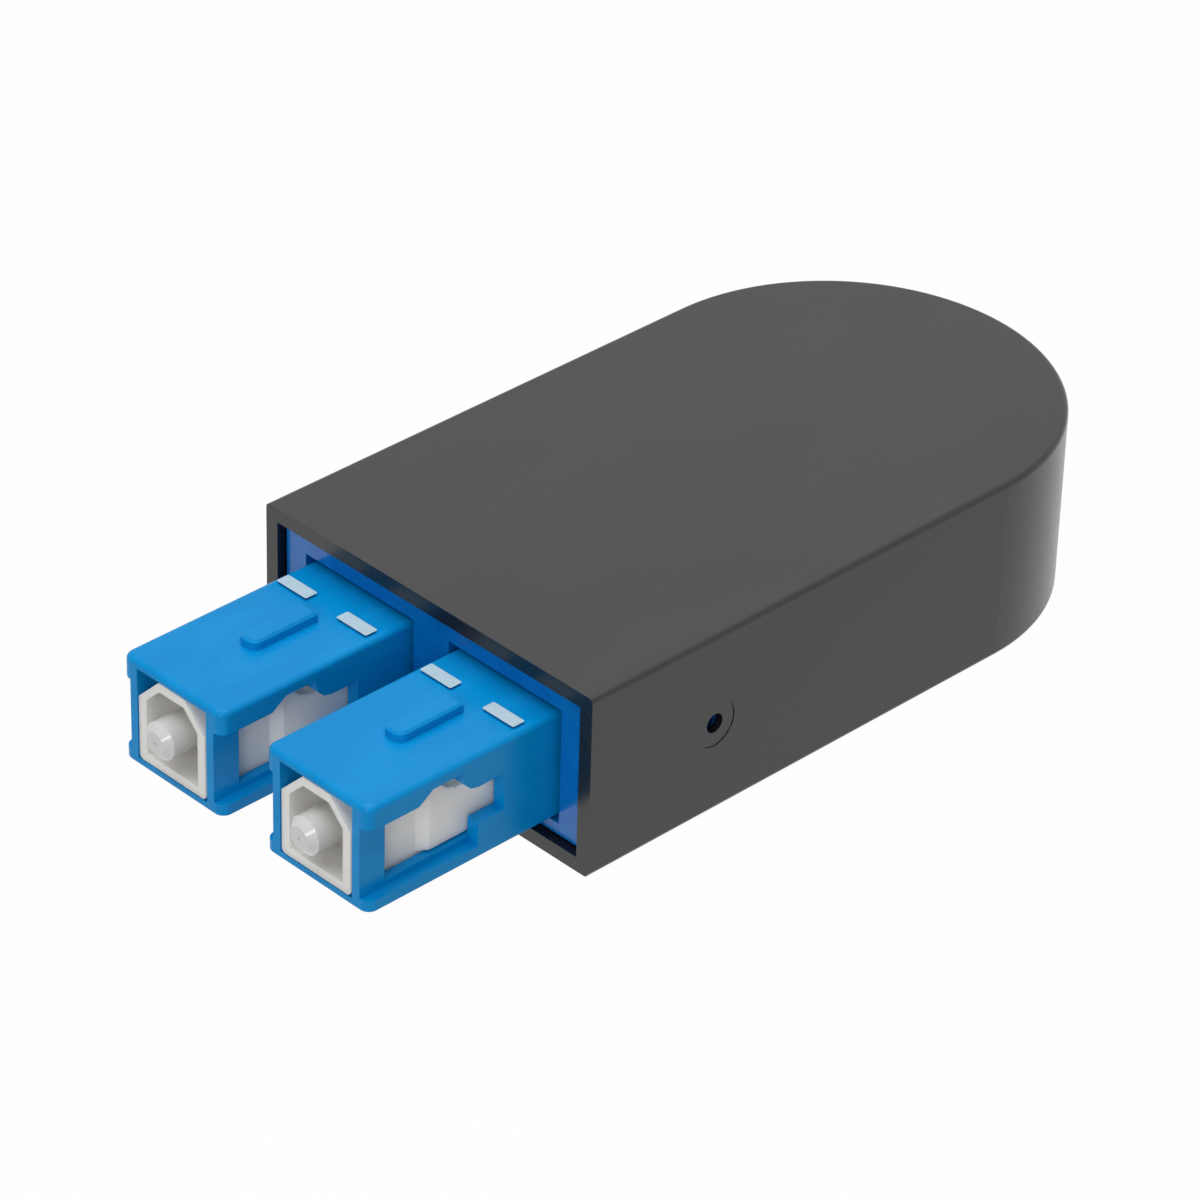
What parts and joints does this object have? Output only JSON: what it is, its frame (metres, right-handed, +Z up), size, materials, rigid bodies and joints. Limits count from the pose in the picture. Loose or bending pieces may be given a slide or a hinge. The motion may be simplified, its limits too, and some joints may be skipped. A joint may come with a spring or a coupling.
{
  "type": "fibre optic loopback plug",
  "caption": "Duplex fibre loopback plug: black D-shaped housing with a round far end, blue push-pull connectors with white inner frames and ceramic ferrules at its open front.",
  "frame": {"origin": "middle of the underside of the overall box, on the plane that the housing rests on", "axes": "-Y the way the connectors face, +Y towards the round end, +Z up through the top of the housing (the keyed side of the connectors), +X from the left connector to the right one"},
  "size_m": [0.0284, 0.0646, 0.0126],
  "materials": {
    "housing_black": "finely textured black moulding",
    "connector_blue": "satin blue moulding",
    "retainer_black": "plain moulding",
    "guide_black": "plain moulding",
    "fibre_yellow": "smooth buffered fibre",
    "frame_white": "smooth off-white moulding",
    "ferrule_zirconia": "polished zirconia",
    "flange_nickel": "nickel-plated brass",
    "spring_steel": "drawn stainless wire",
    "stop_grey": "off-white moulding",
    "tube_white": "milky fluoropolymer tube",
    "boot_blue": "soft blue boot"
  },
  "bodies": {
    "housing": {"housing_shell": "housing_black", "front_plate": "connector_blue", "outer_sleeve_left": "connector_blue", "outer_sleeve_right": "connector_blue", "sleeve_retainer": "retainer_black", "loop_guide": "guide_black", "fibre_loop": "fibre_yellow"},
    "plug_left": {"plug_frame_left": "frame_white", "spring_stop_left": "stop_grey", "tail_boot_left": "boot_blue", "ferrule_spring_left": "spring_steel"},
    "ferrule_body_left": {"ferrule_left": "ferrule_zirconia", "ferrule_flange_left": "flange_nickel", "guide_tube_left": "tube_white"},
    "plug_right": {"plug_frame_right": "frame_white", "spring_stop_right": "stop_grey", "tail_boot_right": "boot_blue", "ferrule_spring_right": "spring_steel"},
    "ferrule_body_right": {"ferrule_right": "ferrule_zirconia", "ferrule_flange_right": "flange_nickel", "guide_tube_right": "tube_white"}
  },
  "joints": [
    {"name": "plug_float_left", "type": "slide", "parent": "housing", "child": "plug_left", "axis": [0, 1, 0], "range_m": [-0.0008, 0.0008]},
    {"name": "ferrule_travel_left", "type": "slide", "parent": "plug_left", "child": "ferrule_body_left", "axis": [0, 1, 0], "range_m": [0, 0.001], "stiffness_N_per_m": 3000, "springref_m": -0.0025, "deforming": ["ferrule_spring_left"]},
    {"name": "plug_float_right", "type": "slide", "parent": "housing", "child": "plug_right", "axis": [0, 1, 0], "range_m": [-0.0008, 0.0008]},
    {"name": "ferrule_travel_right", "type": "slide", "parent": "plug_right", "child": "ferrule_body_right", "axis": [0, 1, 0], "range_m": [0, 0.001], "stiffness_N_per_m": 3000, "springref_m": -0.0025, "deforming": ["ferrule_spring_right"]}
  ]
}
